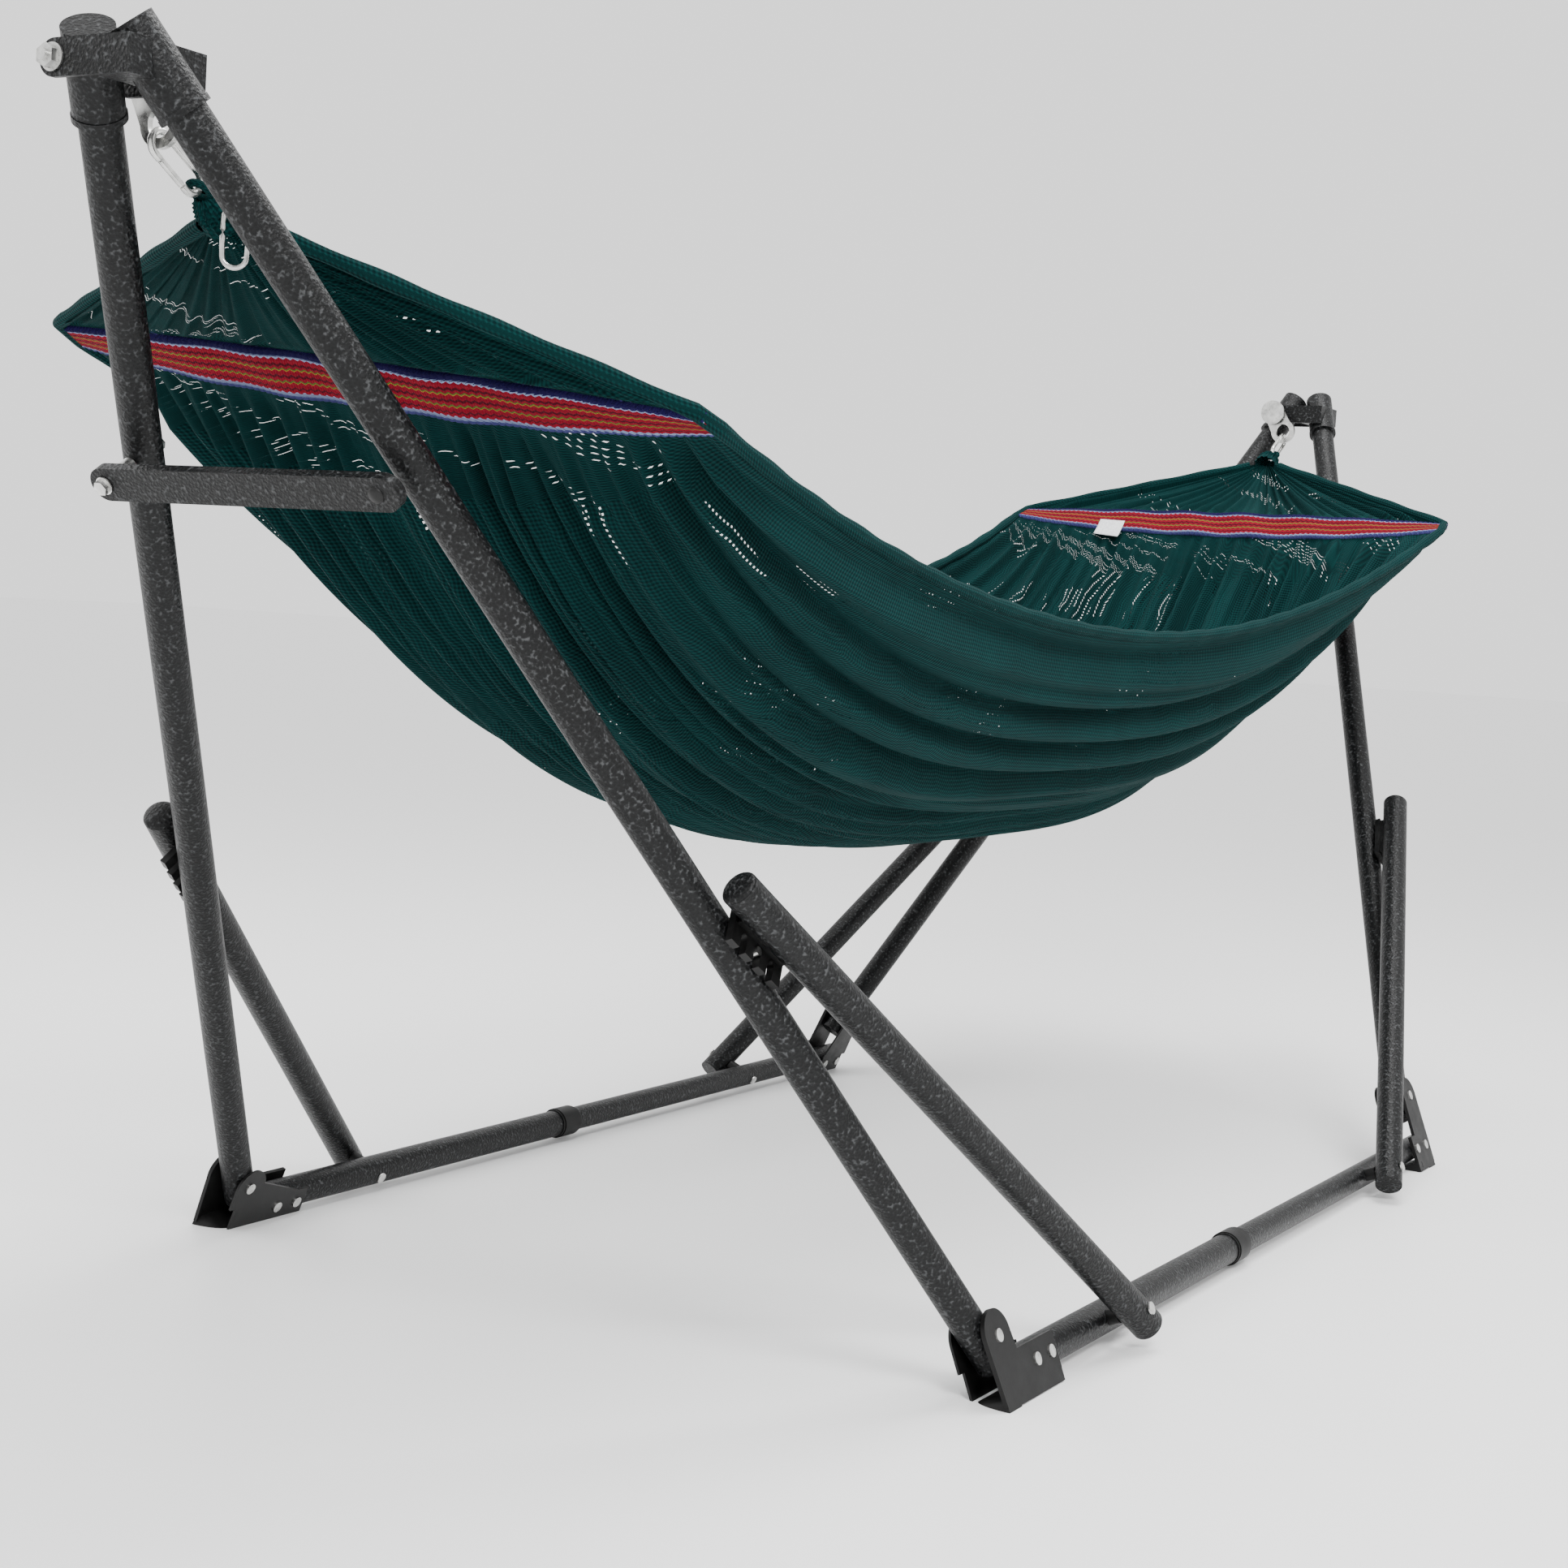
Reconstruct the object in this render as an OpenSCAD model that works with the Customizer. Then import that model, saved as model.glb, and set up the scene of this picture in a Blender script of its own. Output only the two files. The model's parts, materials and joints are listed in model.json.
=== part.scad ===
// Hammock on a folding A-frame stand. Millimetres, +Z up, floor at z = 0.
// X runs along the hammock, the near mast is at -X and the left side frame at +Y.

/* [Stand] */
// Distance along the floor between the near and the far leg pivots
foot_span = 1514; // [1400:2:1600]
// Distance from the middle to each floor rail
half_width = 517; // [500:1:530]
// Inward tilt of each side frame, in degrees
tilt = 22.1; // [21.9:0.1:22.3]
// Height of a leg's top, measured up the tilted side frame
mast_rise = 1303; // [1295:1:1310]
// How far each mast leans outward at its top
mast_lean = 778; // [740:2:800]

/* [Tubes] */
// Outside diameter of the legs, struts and near rail halves
tube_d = 38; // [36:0.5:38]
// Outside diameter of the far rail halves, which slide into the near ones
inner_rail_d = 34; // [30:0.5:34]
// Wall thickness of every tube
wall = 1.8; // [1.2:0.1:2]

/* [Struts] */
// Distance from a leg pivot to its strut's pivot on the rail
strut_inset = 275; // [260:1:290]
// Height of a strut's top, measured up the tilted side frame
strut_rise = 526; // [520:1:532]
// Distance of the struts outside the side frame
strut_offset = 51; // [50:0.5:53]

/* [Hammock] */
// Distance from the middle to each woven band
band_x = 1175; // [1160:1:1190]
// Half the width of the bed at the bands
band_half_w = 392; // [370:1:400]
// Half the width of the bed at the middle
mid_half_w = 345; // [320:1:360]
// Height of the bands
band_z = 990; // [980:1:1000]
// Height of the bed's rim at the middle
rim_z = 790; // [770:1:810]
// Height of the bed's lowest point
sag_z = 512; // [500:1:540]
// Width of each woven band, measured along the bed
band_w = 34; // [24:1:40]

/* [Hidden] */
$fn = 40;
frame_grey = "#2c2e30";
plate_black = "#141414";
zinc = "silver";
teal = "#0d4a4a";

tube_r = tube_d / 2;
rail_z = 24;
gap = 0.3;
rivet_r = 4;
hole_r = rivet_r + 0.25;
plate_t = 3;
foot_x = foot_span / 2;
near_pivot_u = 40;
far_pivot_u = 78;
top_x = foot_x + mast_lean;
collar_x = -40;
rail_overlap = 90;

// A leg's lean inside its side frame, for a pivot at height pivot_u
function lean_at(pivot_u) = atan(mast_lean / (mast_rise - pivot_u));
function leg_x(u, pivot_u) = foot_x + (u - pivot_u) * mast_lean / (mast_rise - pivot_u);
function pivot_of(end) = end < 0 ? near_pivot_u : far_pivot_u;
strut_x = foot_x - strut_inset;
strut_top_x = leg_x(strut_rise, near_pivot_u);
strut_angle = atan(strut_rise / (strut_top_x - strut_x));
strut_len = norm([strut_top_x - strut_x, strut_rise]);
leg_tail = 30;
cap_t = 4;
sole_top = -tube_r - 0.6;

// Height, sideways place and X of the ridge bolts, on the left legs' axes
ridge_z = 1212;
ridge_u = (ridge_z - rail_z) / cos(tilt);
ridge_y = half_width - ridge_u * sin(tilt);
ridge_x = leg_x(ridge_u, near_pivot_u);
sleeve_r = tube_r + 4;
sleeve_len = 84;
lug_x = 39.5;
lug_t = 5;
lug_r = 16;
bolt_r = 5;
eye_y = 15;
eye_z = ridge_z - 34;
eye_gap = 17;
eye_x = ridge_x - lug_x - lug_t - eye_gap;
eye_t = 6;

// Places a child drawn in a side frame's own (x, outward, up) axes
module left_side() { translate([0, half_width, rail_z]) rotate([tilt, 0, 0]) children(); }
module right_side() { mirror([0, 1, 0]) left_side() children(); }
module mast(end) { mirror([end < 0 ? 1 : 0, 0, 0]) children(); }
// Cylinder along the outward axis of a side frame, from n0 to n1
module across(x, u, r, n0, n1) {
    translate([x, n0, u]) rotate([-90, 0, 0]) cylinder(r = r, h = n1 - n0);
}
// Cylinder along X from x0 to x1
module along_x(x0, x1, r) { translate([x0, 0, 0]) rotate([0, 90, 0]) cylinder(r = r, h = x1 - x0); }
module rivet(x, u, n0, n1) {
    across(x, u, rivet_r, n0, n1);
    across(x, u, 7, n1, n1 + 2);
    across(x, u, 7, n0 - 2, n0);
}

function rail_end(end) = end < 0 ? foot_x - 54 : foot_x + 22;
rail_rivet_x = [foot_x - 68, foot_x - 104];
far_rail_rivet_x = [foot_x + 2, foot_x - 40];
function rivets_of(end) = end < 0 ? rail_rivet_x : far_rail_rivet_x;

module rail_holes(end) {
    mast(end) {
        for (x = rivets_of(end)) across(x, 0, hole_r, -40, 40);
        across(strut_x, 0, hole_r, -40, 40);
    }
}
module rail_near() {
    color(frame_grey) difference() {
        along_x(-rail_end(-1), collar_x, tube_r);
        along_x(-rail_end(-1) - 1, collar_x + 1, inner_rail_d / 2 + 0.15);
        rail_holes(-1);
    }
}
module rail_far() {
    color(frame_grey) difference() {
        along_x(collar_x - rail_overlap, rail_end(1), inner_rail_d / 2);
        along_x(collar_x - rail_overlap - 1, rail_end(1) + 1, inner_rail_d / 2 - wall);
        rail_holes(1);
    }
}
module rail_collar() {
    color(plate_black) difference() {
        union() {
            along_x(collar_x - 22, collar_x + 14, tube_r + 2.6);
            along_x(collar_x - 26, collar_x + 18, tube_r + 1.4);
        }
        along_x(collar_x - 27, collar_x + 0.1, tube_r + 0.1);
        along_x(collar_x, collar_x + 19, inner_rail_d / 2 + 0.1);
    }
}

// A leg's own frame: z runs up the leg from its pivot
module leg_frame(end) {
    translate([foot_x, 0, pivot_of(end)]) rotate([0, lean_at(pivot_of(end)), 0]) children();
}
function leg_len(end) = norm([mast_lean, mast_rise - pivot_of(end)]);
pin_u = 470;
function pin_x(end) = leg_x(pin_u, pivot_of(end));
brace_u = 950;
module leg_tube(end, r, extra) {
    leg_frame(end) translate([0, 0, -leg_tail - extra]) {
        cylinder(r = r, h = leg_tail + leg_len(end) + 2 * extra);
    }
}
module leg_holes(end) {
    across(foot_x, pivot_of(end), hole_r, -40, 40);
    across(pin_x(end), pin_u, hole_r + 0.5, 0, 40);
}
module leg(end) {
    difference() {
        leg_tube(end, tube_r, 0);
        leg_tube(end, tube_r - wall, 1);
        leg_holes(end);
    }
}
module leg_caps() {
    color(frame_grey) for (end = [-1, 1]) mast(end) leg_frame(end) {
        translate([0, 0, -leg_tail - cap_t]) cylinder(r = tube_r, h = cap_t - 0.05);
        translate([0, 0, -leg_tail - 0.1]) cylinder(r = tube_r - wall - 0.1, h = 10);
    }
}

// Foot: an inner steel plate, and an outer moulded shoe with its sole on the floor
module plate_outline(end) {
    p = pivot_of(end);
    inner = rivets_of(end)[1] - 14;
    translate([foot_x - 2, p]) circle(r = 24);
    translate([inner, -18]) square([foot_x + 12 - inner, 36]);
    polygon([[inner, 12], [foot_x + 22, 12], [foot_x + 22, p], [foot_x - 22, p + 4]]);
}
module foot_holes(end) {
    across(foot_x, pivot_of(end), hole_r, -60, 60);
    for (x = rivets_of(end)) across(x, 0, hole_r, -60, 60);
}
module foot_plate(end) {
    color(plate_black) mast(end) difference() {
        translate([0, -tube_r - gap, 0]) rotate([90, 0, 0]) linear_extrude(plate_t) {
            plate_outline(end);
        }
        foot_holes(end);
    }
}
shoe_r = 15;
module shoe(end) {
    p = pivot_of(end);
    x0 = rivets_of(end)[1] - 14;
    x1 = foot_x + 22;
    translate([0, tube_r + gap + 5, 0]) rotate([90, 0, 0]) linear_extrude(5) {
        translate([foot_x, p]) circle(r = 28);
        polygon([[foot_x - 28, p], [foot_x + 28, p], [x1, -30], [foot_x - 40, -30]]);
        translate([x0, -20]) square([x1 - x0, 40]);
    }
    translate([0, tube_r + 5, 0]) rotate([90, 0, 0]) linear_extrude(2 * tube_r + 11) {
        translate([x0, -34]) square([x1 - shoe_r - x0, 34 + sole_top]);
        translate([x1 - shoe_r, sole_top - shoe_r]) circle(r = shoe_r);
        translate([x1 - shoe_r, -34]) square([shoe_r - 4, 34 + sole_top - shoe_r]);
    }
}
module floor_cut() { translate([0, 0, -100]) cube([2 * top_x, 4 * half_width, 200], center = true); }
module left_shoe(end) {
    color(plate_black) difference() {
        left_side() mast(end) difference() {
            shoe(end);
            foot_holes(end);
            leg_tube(end, tube_r + 0.5, 6);
        }
        floor_cut();
    }
}
module foot_rivets() {
    color(zinc) for (end = [-1, 1]) mast(end) {
        rivet(foot_x, pivot_of(end), -tube_r - gap - plate_t, tube_r + gap + 5);
        for (x = rivets_of(end)) rivet(x, 0, -tube_r - gap - plate_t, tube_r + gap + 5);
    }
}

// Struts, pivoted on the rails and hooked onto a pin on each leg
module strut_frame() { translate([strut_x, strut_offset, 0]) rotate([0, 90 - strut_angle, 0]) children(); }
strut_tail = 24;
module strut_bolts() {
    color(zinc) for (end = [-1, 1]) mast(end) {
        rail_r = end < 0 ? tube_r : inner_rail_d / 2;
        rivet(strut_x, 0, -rail_r - 0.2, strut_offset + tube_r + 0.4);
    }
}
module strut_spacers() {
    color(plate_black) for (end = [-1, 1]) mast(end) difference() {
        across(strut_x, 0, 9, 0, strut_offset - tube_r - gap);
        across(strut_x, 0, hole_r, -1, strut_offset);
        along_x(0, top_x, (end < 0 ? tube_r : inner_rail_d / 2) + 0.05);
    }
}
module strut(end) {
    color(frame_grey) mast(end) difference() {
        strut_frame() translate([0, 0, -strut_tail]) cylinder(r = tube_r, h = strut_len + strut_tail);
        strut_frame() translate([0, 0, -strut_tail - 1]) {
            cylinder(r = tube_r - wall, h = strut_len + strut_tail + 2);
        }
        across(strut_x, 0, hole_r + 0.1, 0, 90);
    }
}
module strut_caps(end) {
    color(frame_grey) mast(end) strut_frame() {
        translate([0, 0, strut_len + 0.05]) cylinder(r = tube_r, h = cap_t);
        translate([0, 0, strut_len - 9]) cylinder(r = tube_r - wall - 0.1, h = 9.1);
        translate([0, 0, -strut_tail - cap_t]) cylinder(r = tube_r, h = cap_t - 0.05);
        translate([0, 0, -strut_tail - 0.1]) cylinder(r = tube_r - wall - 0.1, h = 9);
    }
}
// The pin's place in the strut's frame: along the strut, and below it
function pin_dx(end) = pin_x(end) - strut_x;
function pin_along(end) = pin_dx(end) * cos(strut_angle) + pin_u * sin(strut_angle);
function pin_below(end) = pin_dx(end) * sin(strut_angle) - pin_u * cos(strut_angle);
pin_r = 4.5;
slot_w = 2 * pin_r + 0.8;
slot_pitch = 22;
bracket_n0 = tube_r + 2.5;
bracket_n1 = bracket_n0 + 8;
module hook_bracket(end) {
    a = pin_along(end);
    b = pin_below(end);
    color(plate_black) mast(end) difference() {
        union() {
            translate([strut_x, bracket_n1, 0]) rotate([90, 0, 0]) linear_extrude(8) rotate(strut_angle) {
                translate([a - 40, -b - 15]) square([80, b + 27]);
            }
            strut_frame() translate([-10, bracket_n1 - strut_offset - 1, a - 36]) cube([20, 7, 72]);
        }
        strut_frame() cylinder(r = tube_r + 0.1, h = strut_len);
        translate([strut_x, bracket_n1 + 8, 0]) rotate([90, 0, 0]) linear_extrude(20) rotate(strut_angle) {
            for (k = [-1, 0, 1]) translate([a + k * slot_pitch, -b]) {
                circle(r = slot_w / 2);
                translate([-slot_w / 2, -40]) square([slot_w, 40]);
            }
        }
    }
}
module leg_pins() {
    color(zinc) for (end = [-1, 1]) mast(end) {
        across(pin_x(end), pin_u, pin_r, tube_r - wall - 3, bracket_n1 + 1.6);
    }
}

// Apex: a sleeve on each left leg, and a fork on each right leg, on one ridge line
module sleeve_body(end, r, extra) {
    leg_frame(end) translate([0, 0, leg_len(end) - sleeve_len + 14 - extra]) {
        cylinder(r = r, h = sleeve_len + extra);
    }
}
module sleeve(end) {
    difference() {
        union() {
            sleeve_body(end, sleeve_r, 0);
            leg_frame(end) translate([0, 0, leg_len(end) - sleeve_len + 14]) {
                cylinder(r = sleeve_r + 1, h = 6);
            }
        }
        leg_tube(end, tube_r + 0.05, 0.1);
    }
}
module ridge_axis() { translate([ridge_x, ridge_y, ridge_z]) children(); }
module ridge_bore(r) { translate([0, ridge_y, ridge_z]) along_x(ridge_x - 90, ridge_x + 90, r); }
module left_leg(end) {
    color(frame_grey) mast(end) difference() {
        left_side() leg(end);
        ridge_bore(bolt_r + 0.2);
        brace_place(end) translate([0, 0, -60]) cylinder(r = hole_r, h = 120);
    }
}
module left_sleeve(end) {
    color(frame_grey) mast(end) difference() {
        left_side() sleeve(end);
        ridge_bore(bolt_r + 0.2);
    }
}
module fork(end) {
    color(frame_grey) mast(end) difference() {
        union() {
            right_side() sleeve(end);
            for (x = [-lug_x - lug_t, lug_x]) ridge_axis() translate([x, 0, 0]) rotate([90, 0, 90]) {
                linear_extrude(lug_t) {
                    circle(r = lug_r);
                    translate([-ridge_y - 48, -lug_r]) square([ridge_y + 48, 2 * lug_r]);
                }
            }
            translate([ridge_x - lug_x - lug_t, -50, ridge_z - lug_r]) {
                cube([2 * (lug_x + lug_t), 39, 2 * lug_r]);
            }
        }
        right_side() leg_tube(end, tube_r + 0.05, 0.1);
        ridge_bore(bolt_r + 0.1);
    }
}
module ridge_bolt() {
    ridge_axis() {
        along_x(-lug_x - lug_t - eye_gap - 7, lug_x + lug_t + 14, bolt_r);
        along_x(-lug_x - lug_t - eye_gap + eye_t / 2 + 0.2, -lug_x - lug_t - 0.3, 9);
        difference() {
            translate([lug_x + lug_t + 0.5, 0, 0]) rotate([0, 90, 0]) cylinder(r = 12, h = 2);
            along_x(0, 90, bolt_r);
        }
        translate([lug_x + lug_t + 2.5, 0, 0]) rotate([0, 90, 0]) cylinder(r = 10, h = 8, $fn = 6);
        translate([-lug_x - lug_t - eye_gap - 11, 0, 0]) rotate([0, 90, 0]) cylinder(r = 22, h = 4);
    }
}
module ridge_bolts() { color(zinc) for (end = [-1, 1]) mast(end) ridge_bolt(); }
module eye_plate() {
    translate([eye_x - eye_t / 2, 0, 0]) rotate([90, 0, 90]) linear_extrude(eye_t) difference() {
        union() {
            translate([ridge_y, ridge_z]) circle(r = 18);
            translate([eye_y, eye_z]) circle(r = 22);
            polygon([[ridge_y - 17, ridge_z + 6], [ridge_y + 17, ridge_z - 6],
                     [eye_y + 20, eye_z - 6], [eye_y - 21, eye_z + 6]]);
        }
        translate([ridge_y, ridge_z]) circle(r = bolt_r + 0.05);
        translate([eye_y, eye_z]) circle(r = 13);
    }
}
module eye_plates() { color(zinc) for (end = [-1, 1]) mast(end) eye_plate(); }

// Braces, bolted to the outer face of each left leg and reaching over the right leg
brace_z = rail_z + brace_u * cos(tilt);
brace_y = half_width - brace_u * sin(tilt);
function brace_x(end) = leg_x(brace_u, pivot_of(end));
function mast_slope(end) = atan(mast_lean / ((mast_rise - pivot_of(end)) * cos(tilt)));
// Clearance under a brace, for the right leg to pass below it as the stand closes
brace_gap = 27;
brace_h = 34;
brace_t = 11;
brace_skin = 2.5;
// Local frame: x runs across the stand, y runs up the mast, z points out of the mast
module brace_place(end) {
    translate([brace_x(end), brace_y, brace_z]) rotate([0, mast_slope(end) + 90, 0]) {
        rotate([0, 0, -90]) children();
    }
}
module brace_outline(r) {
    circle(r = r);
    translate([0, -r]) square([2 * brace_y + 8, 2 * r]);
    translate([2 * brace_y + 8, 0]) circle(r = r);
}
module brace(end) {
    color(frame_grey) mast(end) brace_place(end) difference() {
        translate([0, 0, tube_r + brace_gap]) linear_extrude(brace_t) brace_outline(brace_h / 2);
        translate([0, 0, tube_r + brace_gap - 1]) linear_extrude(brace_t - brace_skin + 1) {
            brace_outline(brace_h / 2 - brace_skin);
        }
        cylinder(r = hole_r, h = 80);
    }
}
module brace_bolts() {
    color(zinc) for (end = [-1, 1]) mast(end) brace_place(end) {
        top = tube_r + brace_gap + brace_t;
        translate([0, 0, -tube_r - 1]) cylinder(r = rivet_r, h = top + tube_r + 9);
        translate([0, 0, -tube_r - 6]) cylinder(r = 7, h = 5, $fn = 6);
        translate([0, 0, top + 0.4]) cylinder(r = 9, h = 1.6);
        translate([0, 0, top + 2]) cylinder(r = 7.5, h = 6, $fn = 6);
        translate([0, 0, tube_r + 0.2]) cylinder(r = 8, h = brace_gap + brace_t - brace_skin - 0.6);
    }
}

// Carabiners: a long oval link through each eye plate, with its own sprung gate
pull = 32;
link_r = 3.5;
link_w = 11;
link_len = 46;
link_x = eye_x;
// The link hangs around the lower rim of the eye
link_z = eye_z - 17.5;
module link_place() {
    translate([link_x, eye_y, link_z]) rotate([0, 90 - pull, 0]) rotate([0, 180, 0]) children();
}
// The link's frame: z runs along the pull, away from the eye, x crosses the link
module link_bend(z, flip) {
    translate([0, 0, z]) rotate([90, flip, 0]) rotate_extrude(angle = 180) {
        translate([link_w, 0]) circle(r = link_r, $fn = 20);
    }
}
module carabiner() {
    link_bend(0, 180);
    link_bend(link_len, 0);
    translate([link_w, 0, 0]) cylinder(r = link_r, h = link_len, $fn = 20);
    translate([-link_w, 0, 0]) cylinder(r = link_r, h = 6, $fn = 20);
    translate([-link_w, 0, link_len - 6]) cylinder(r = link_r, h = 6, $fn = 20);
}
gate_z = 7.5;
module gate() {
    translate([-link_w, 0, gate_z]) cylinder(r = link_r - 0.4, h = link_len - 2 * gate_z, $fn = 20);
    translate([-link_w, 0, gate_z]) rotate([90, 0, 0]) cylinder(r = 1.2, h = 7, center = true, $fn = 20);
}

// Gathered cloth: a bound neck from each carabiner to the fan-shaped end panel
neck_r = 21;
neck_x = link_x - (link_len + 22) * cos(pull);
neck_z = link_z - (link_len + 22) * sin(pull);
module gather_wrap() {
    translate([neck_x, eye_y, neck_z]) rotate([0, 90 - pull, 0]) rotate([0, 180, 0]) {
        translate([0, 0, -4]) cylinder(r1 = 12, r2 = neck_r - 4, h = 12);
        translate([0, 0, 8]) cylinder(r1 = neck_r - 4, r2 = neck_r, h = 20);
        translate([0, 0, -9.5]) rotate([0, 90, 0]) rotate_extrude() translate([10, 0]) circle(r = 3.8, $fn = 20);
    }
}
fan_x = neck_x - 30 * cos(pull);
fan_z = neck_z - 30 * sin(pull);

// The cloth's surface, for v from -1 to 1 across the bed
cloth_t = 6;
// How full the bed's section is: 1 is a V, and more is rounder
belly = 2.6;
function squared(a) = a * a;
function half_w(x) = mid_half_w + (band_half_w - mid_half_w) * squared(x / band_x);
function rim_h(x) = rim_z + (band_z + 8 - rim_z) * squared(x / band_x);
function keel_h(x) = sag_z + (band_z - sag_z) * pow(abs(x / band_x), 3);
function bed_point(x, v) = [
    x,
    eye_y + half_w(x) * v,
    keel_h(x) + (rim_h(x) - keel_h(x)) * pow(abs(v), belly)
];
function mix(a, b, t) = a + (b - a) * t;
function fan_point(t, v) =
    let (a = [fan_x, eye_y + neck_r * v, fan_z], b = bed_point(band_x + band_w / 2 + 0.5, v))
    mix(a, b, t) + [0, 0, 10 * sin(180 * t) * (squared(v) - 1)];
bed_rows = 44;
bed_cols = 20;
// A sheet of even drop cloth_t, whose upper face is the grid of points top[i][j]
module sheet(top) {
    rows = len(top);
    cols = len(top[0]);
    n = rows * cols;
    points = concat(
        [for (row = top) for (p = row) p],
        [for (row = top) for (p = row) p - [0, 0, cloth_t]]
    );
    function quad(a, b, c, d) = [[a, b, c], [a, c, d]];
    function at(i, j) = i * cols + j;
    faces = [
        for (i = [0 : rows - 2]) for (j = [0 : cols - 2])
            each quad(at(i, j), at(i, j + 1), at(i + 1, j + 1), at(i + 1, j)),
        for (i = [0 : rows - 2]) for (j = [0 : cols - 2])
            each quad(n + at(i, j), n + at(i + 1, j), n + at(i + 1, j + 1), n + at(i, j + 1)),
        for (i = [0 : rows - 2])
            each quad(at(i, 0), at(i + 1, 0), n + at(i + 1, 0), n + at(i, 0)),
        for (i = [0 : rows - 2])
            each quad(at(i + 1, cols - 1), at(i, cols - 1), n + at(i, cols - 1), n + at(i + 1, cols - 1)),
        for (j = [0 : cols - 2])
            each quad(at(0, j + 1), at(0, j), n + at(0, j), n + at(0, j + 1)),
        for (j = [0 : cols - 2])
            each quad(at(rows - 1, j), at(rows - 1, j + 1), n + at(rows - 1, j + 1), n + at(rows - 1, j))
    ];
    polyhedron(points = points, faces = faces);
}
across_v = [for (j = [0 : bed_cols]) 2 * j / bed_cols - 1];
module cloth_between(x0, x1, rows) {
    sheet([for (i = [0 : rows]) [for (v = across_v) bed_point(x0 + (x1 - x0) * i / rows, v)]]);
}
module bed() { color(teal) cloth_between(-band_x + band_w / 2 + 0.5, band_x - band_w / 2 - 0.5, bed_rows); }
module band(end) { color("firebrick") mast(end) cloth_between(band_x - band_w / 2, band_x + band_w / 2, 2); }
module end_panel(end) {
    color(teal) mast(end) sheet([for (i = [8 : -1 : 0]) [for (v = across_v) fan_point(i / 8, v)]]);
}

left_side() rail_near();  // left_rail_near
left_side() rail_far();  // left_rail_far
left_side() rail_collar();  // left_rail_collar
left_leg(-1);  // near_left_leg
left_leg(1);  // far_left_leg
left_side() leg_caps();  // left_leg_caps
left_side() foot_plate(-1);  // near_left_foot_plate
left_side() foot_plate(1);  // far_left_foot_plate
left_shoe(-1);  // near_left_shoe
left_shoe(1);  // far_left_shoe
left_side() foot_rivets();  // left_foot_rivets
left_side() strut_bolts();  // left_strut_bolts
left_side() strut_spacers();  // left_strut_spacers
left_side() leg_pins();  // left_leg_pins
left_sleeve(-1);  // near_left_sleeve
left_sleeve(1);  // far_left_sleeve
ridge_bolts();
eye_plates();
brace_bolts();
right_side() rail_near();  // right_rail_near
right_side() rail_far();  // right_rail_far
right_side() rail_collar();  // right_rail_collar
color(frame_grey) mast(-1) right_side() leg(-1);  // near_right_leg
color(frame_grey) right_side() leg(1);  // far_right_leg
right_side() leg_caps();  // right_leg_caps
right_side() foot_plate(-1);  // near_right_foot_plate
right_side() foot_plate(1);  // far_right_foot_plate
mirror([0, 1, 0]) left_shoe(-1);  // near_right_shoe
mirror([0, 1, 0]) left_shoe(1);  // far_right_shoe
right_side() foot_rivets();  // right_foot_rivets
right_side() strut_bolts();  // right_strut_bolts
right_side() strut_spacers();  // right_strut_spacers
right_side() leg_pins();  // right_leg_pins
fork(-1);  // near_right_fork
fork(1);  // far_right_fork
left_side() strut(-1);  // near_left_strut
left_side() strut_caps(-1);  // near_left_strut_caps
left_side() hook_bracket(-1);  // near_left_hook_bracket
left_side() strut(1);  // far_left_strut
left_side() strut_caps(1);  // far_left_strut_caps
left_side() hook_bracket(1);  // far_left_hook_bracket
right_side() strut(-1);  // near_right_strut
right_side() strut_caps(-1);  // near_right_strut_caps
right_side() hook_bracket(-1);  // near_right_hook_bracket
right_side() strut(1);  // far_right_strut
right_side() strut_caps(1);  // far_right_strut_caps
right_side() hook_bracket(1);  // far_right_hook_bracket
brace(-1);  // near_brace
brace(1);  // far_brace
color(zinc) mast(-1) link_place() carabiner();  // near_carabiner
color(zinc) mast(1) link_place() carabiner();  // far_carabiner
color(zinc) mast(-1) link_place() gate();  // near_carabiner_gate
color(zinc) mast(1) link_place() gate();  // far_carabiner_gate
color(teal) mast(-1) gather_wrap();  // near_gather_wrap
color(teal) mast(1) gather_wrap();  // far_gather_wrap
end_panel(-1);  // near_end_panel
end_panel(1);  // far_end_panel
band(-1);  // near_band
band(1);  // far_band
bed();  // hammock_bed
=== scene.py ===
"""A gathered knit hammock on a folding tube stand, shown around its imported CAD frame."""
import json
import math

import bpy
import numpy as np
from mathutils import Matrix, Vector


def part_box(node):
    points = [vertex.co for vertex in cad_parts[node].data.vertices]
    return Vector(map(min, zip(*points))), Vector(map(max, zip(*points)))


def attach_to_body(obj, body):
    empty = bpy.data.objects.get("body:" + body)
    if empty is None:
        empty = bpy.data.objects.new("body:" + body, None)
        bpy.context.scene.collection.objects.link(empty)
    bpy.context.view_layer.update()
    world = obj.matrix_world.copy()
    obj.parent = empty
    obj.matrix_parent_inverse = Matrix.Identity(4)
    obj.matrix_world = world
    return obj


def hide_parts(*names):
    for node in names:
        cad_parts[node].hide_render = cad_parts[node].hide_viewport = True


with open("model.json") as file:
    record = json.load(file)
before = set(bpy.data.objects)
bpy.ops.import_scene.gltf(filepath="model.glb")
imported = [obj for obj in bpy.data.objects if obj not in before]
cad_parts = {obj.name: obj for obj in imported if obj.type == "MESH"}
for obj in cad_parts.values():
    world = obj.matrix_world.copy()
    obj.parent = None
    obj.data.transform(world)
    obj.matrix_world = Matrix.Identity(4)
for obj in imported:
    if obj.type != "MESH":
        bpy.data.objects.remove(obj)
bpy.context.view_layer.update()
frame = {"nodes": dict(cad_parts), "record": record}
nodes = frame["nodes"]

MM = 0.001
ENDS = (("near", -1), ("far", 1))
SIDES = (("left", 1), ("right", -1))

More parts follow.
